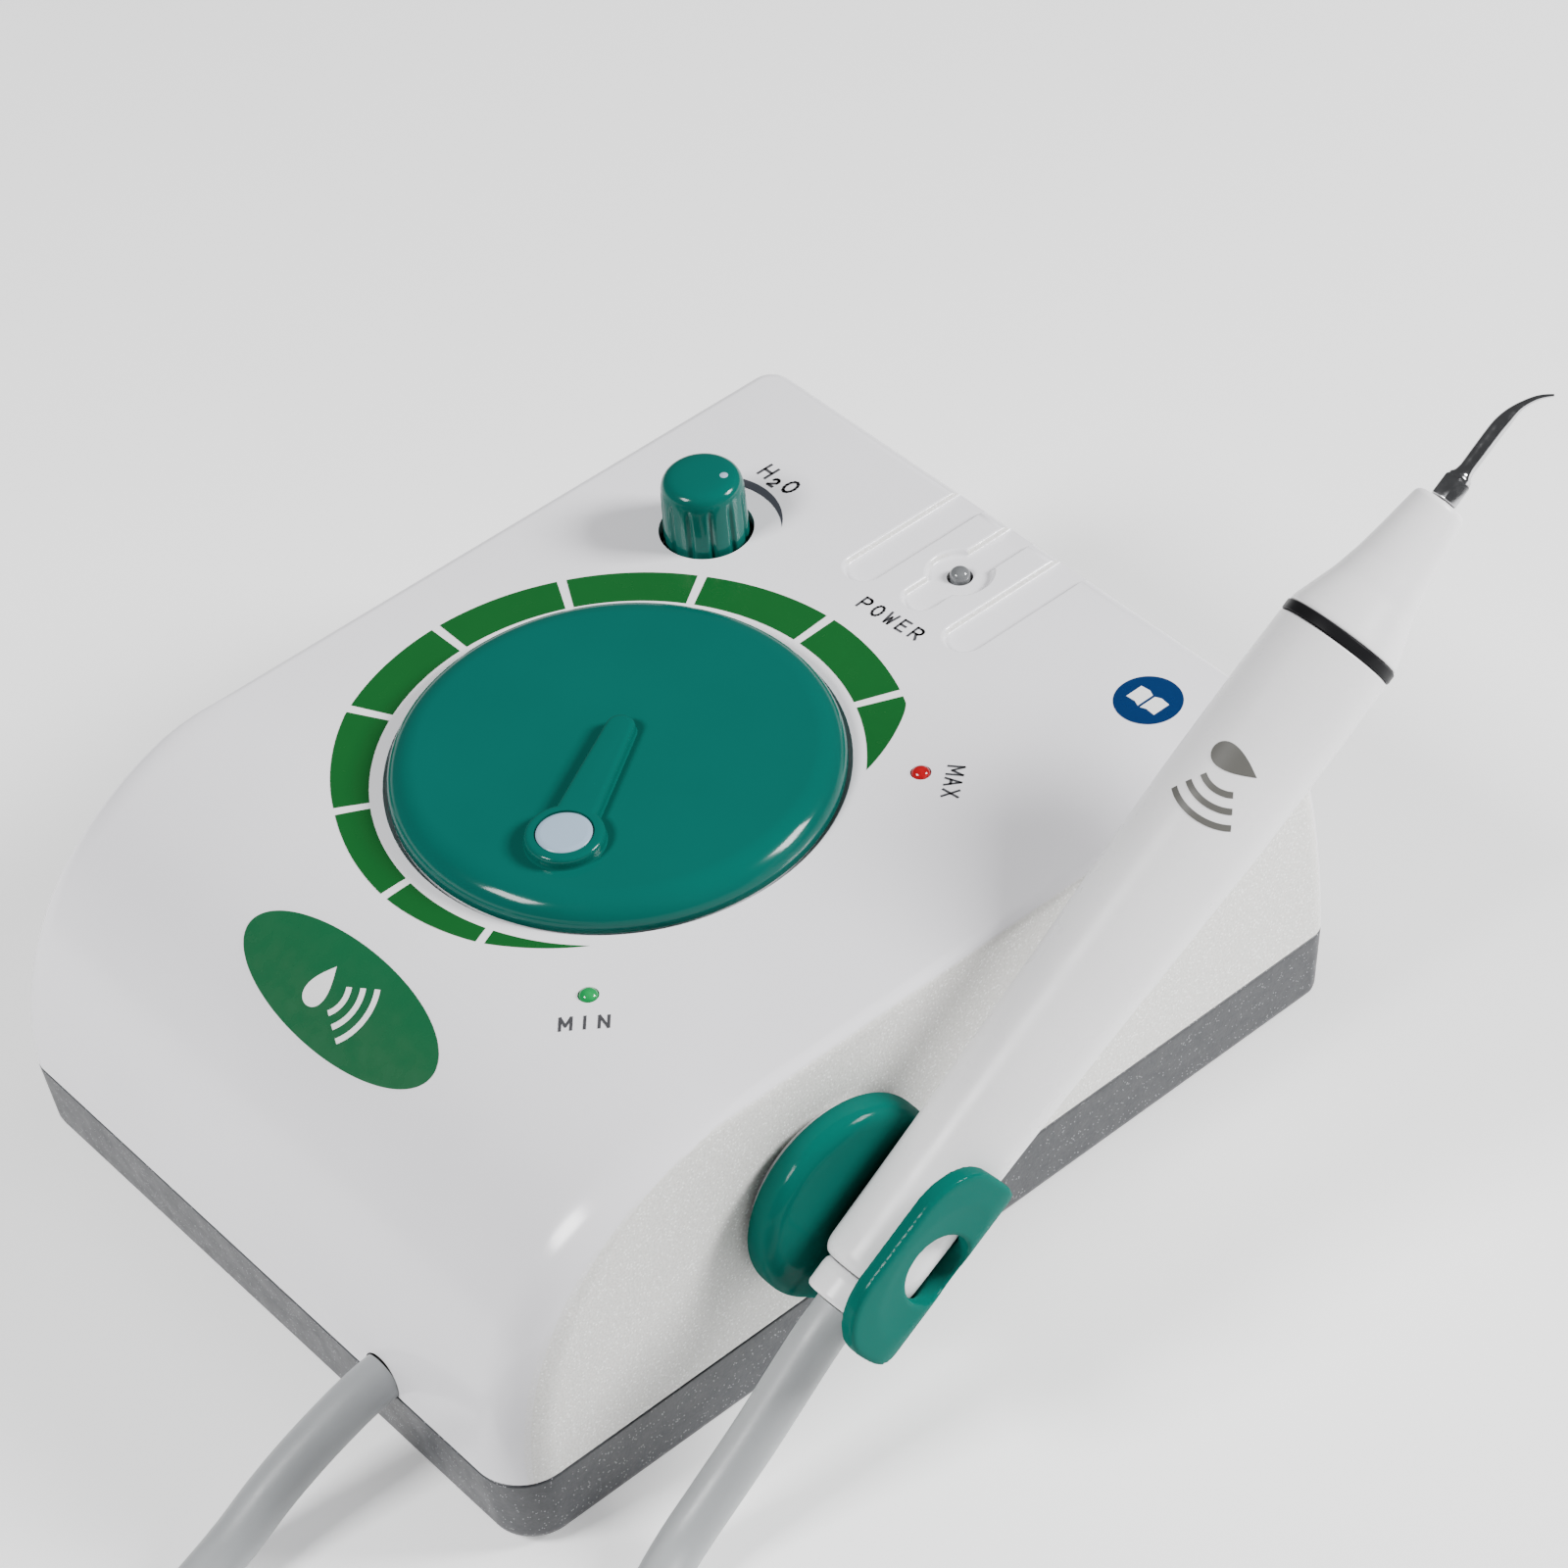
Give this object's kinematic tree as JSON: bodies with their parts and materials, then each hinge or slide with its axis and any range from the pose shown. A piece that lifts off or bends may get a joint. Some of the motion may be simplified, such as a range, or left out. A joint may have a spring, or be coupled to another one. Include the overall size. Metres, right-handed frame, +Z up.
{
  "type": "ultrasonic dental scaler",
  "caption": "Desk ultrasonic scaler: white unit with power dial and water knob, swivelling side holder, corded handpiece with curved steel tip",
  "frame": {"origin": "on the desk, under the middle of the unit and handpiece together, without the hose", "axes": "+Z up, +Y to the back of the unit where the handpiece points, +X to the side that carries the handpiece holder"},
  "size_m": [0.2312, 0.321, 0.1293],
  "materials": {
    "white_gloss": "gloss",
    "white_matt": "matt",
    "grey_tray": "satin, fine texture",
    "green_gloss": "gloss",
    "marker_white": "satin",
    "black_rubber": "matt",
    "black_plastic": "satin",
    "hose_grey": "satin",
    "steel": "polished",
    "titanium": "turned",
    "brass": "turned",
    "ceramic": "fired",
    "board_green": "lacquered",
    "lens_clear": "clear",
    "lens_green": "clear",
    "lens_red": "clear",
    "handpiece_white": "gloss"
  },
  "bodies": {
    "unit": {"base_tray": "grey_tray", "case_screw_back_left": "steel", "case_screw_back_right": "steel", "case_screw_front_left": "steel", "case_screw_front_right": "steel", "control_board": "board_green", "foot_back_left": "black_rubber", "foot_back_right": "black_rubber", "foot_front_left": "black_rubber", "foot_front_right": "black_rubber", "holder_washer": "white_gloss", "hose_coil": "hose_grey", "hose_front": "hose_grey", "hose_gland": "grey_tray", "hose_rear": "hose_grey", "mains_inlet": "black_plastic", "mains_pin": "steel", "max_led": "lens_red", "min_led": "lens_green", "pedal_socket": "black_plastic", "post_back_left": "white_matt", "post_back_right": "white_matt", "post_front_left": "white_matt", "post_front_right": "white_matt", "potentiometer": "black_plastic", "power_board": "board_green", "power_led": "lens_clear", "rear_panel": "grey_tray", "switch_frame": "black_plastic", "top_cover": "white_gloss", "transformer": "black_plastic", "water_inlet": "steel", "water_solenoid": "brass", "water_valve": "brass"},
    "dial": {"power_dial": "green_gloss", "dial_marker": "marker_white", "dial_shaft": "steel"},
    "water_control": {"water_knob": "green_gloss", "knob_dot": "marker_white", "valve_stem": "brass"},
    "switch": {"power_switch": "black_plastic"},
    "holder": {"handpiece_holder": "green_gloss", "holder_pin": "steel", "holder_nut": "steel"},
    "hose_end": {"hose_connector": "handpiece_white"},
    "handpiece": {"handpiece_sleeve": "handpiece_white", "handpiece_ring": "black_rubber", "nose_cap": "handpiece_white", "transducer_horn": "titanium", "piezo_ring_1": "ceramic", "piezo_ring_2": "ceramic", "piezo_ring_3": "ceramic", "piezo_ring_4": "ceramic", "transducer_mass": "steel"},
    "tip": {"scaler_tip": "steel"}
  },
  "joints": [
    {"name": "dial_turn", "type": "hinge", "parent": "unit", "child": "dial", "pos_m": [-0.0188, -0.0182, 0.0693], "axis": [0, 0, -1], "range_deg": [-13.8, 256.7]},
    {"name": "water_turn", "type": "hinge", "parent": "unit", "child": "water_control", "pos_m": [-0.0547, 0.0315, 0.0693], "axis": [0, 0, 1], "range_deg": [0, 270]},
    {"name": "switch_rock", "type": "hinge", "parent": "unit", "child": "switch", "pos_m": [-0.0448, 0.0719, 0.034], "axis": [0, 0, -1], "range_deg": [0, 12]},
    {"name": "holder_swivel", "type": "hinge", "parent": "unit", "child": "holder", "pos_m": [0.0552, -0.0384, 0.0405], "axis": [1, 0, 0], "range_deg": [-30, 45], "deforming": ["hose_rear"]},
    {"name": "handpiece_lift", "type": "slide", "parent": "holder", "child": "hose_end", "axis": [0, -0.5373, 0.8434], "range_m": [0, 0.027], "deforming": ["hose_rear"]},
    {"name": "handpiece_pull", "type": "slide", "parent": "hose_end", "child": "handpiece", "axis": [0, 0.8434, 0.5373], "range_m": [0, 0.03]},
    {"name": "tip_unscrew", "type": "hinge", "parent": "handpiece", "child": "tip", "pos_m": [0.06995, 0.08322, 0.11798], "axis": [0, 0.8434, 0.5373], "range_deg": [0, 360]}
  ]
}
